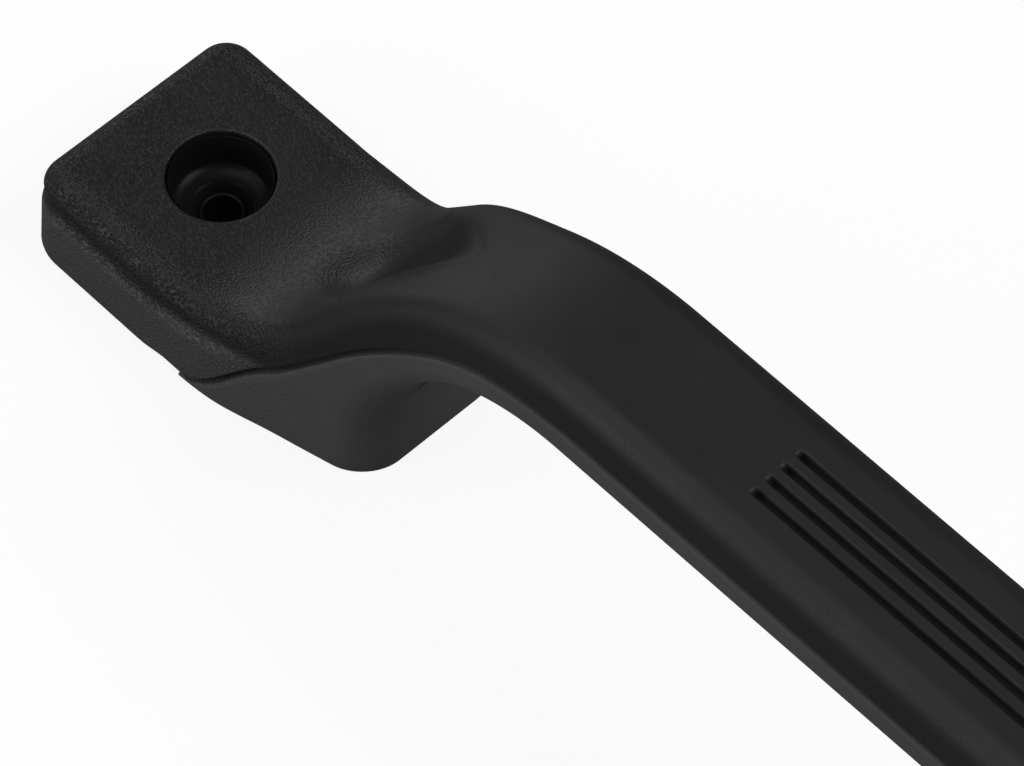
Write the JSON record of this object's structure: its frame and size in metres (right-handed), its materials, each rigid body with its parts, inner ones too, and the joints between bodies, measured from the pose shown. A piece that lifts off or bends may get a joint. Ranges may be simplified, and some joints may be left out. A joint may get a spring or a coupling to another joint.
{
  "type": "roof grab handle",
  "caption": "Fixed roof grab handle: grained cover snapped over a ribbed body, with a raised grip on two feet and a recessed screw hole in each foot.",
  "frame": {"origin": "on the mounting plane, midway between the two feet", "axes": "+X along the handle, +Y across it, +Z away from the roof towards the hand; the foot shown in the picture is at the -X end"},
  "size_m": [0.3222, 0.0416, 0.059],
  "materials": {
    "cover_plastic": "black moulding with a fine leather grain",
    "body_plastic": "black moulding with a fine satin grain, glossy inside the screw wells"
  },
  "bodies": {
    "root": {"top_cover": "cover_plastic", "lower_body": "body_plastic"}
  },
  "joints": []
}
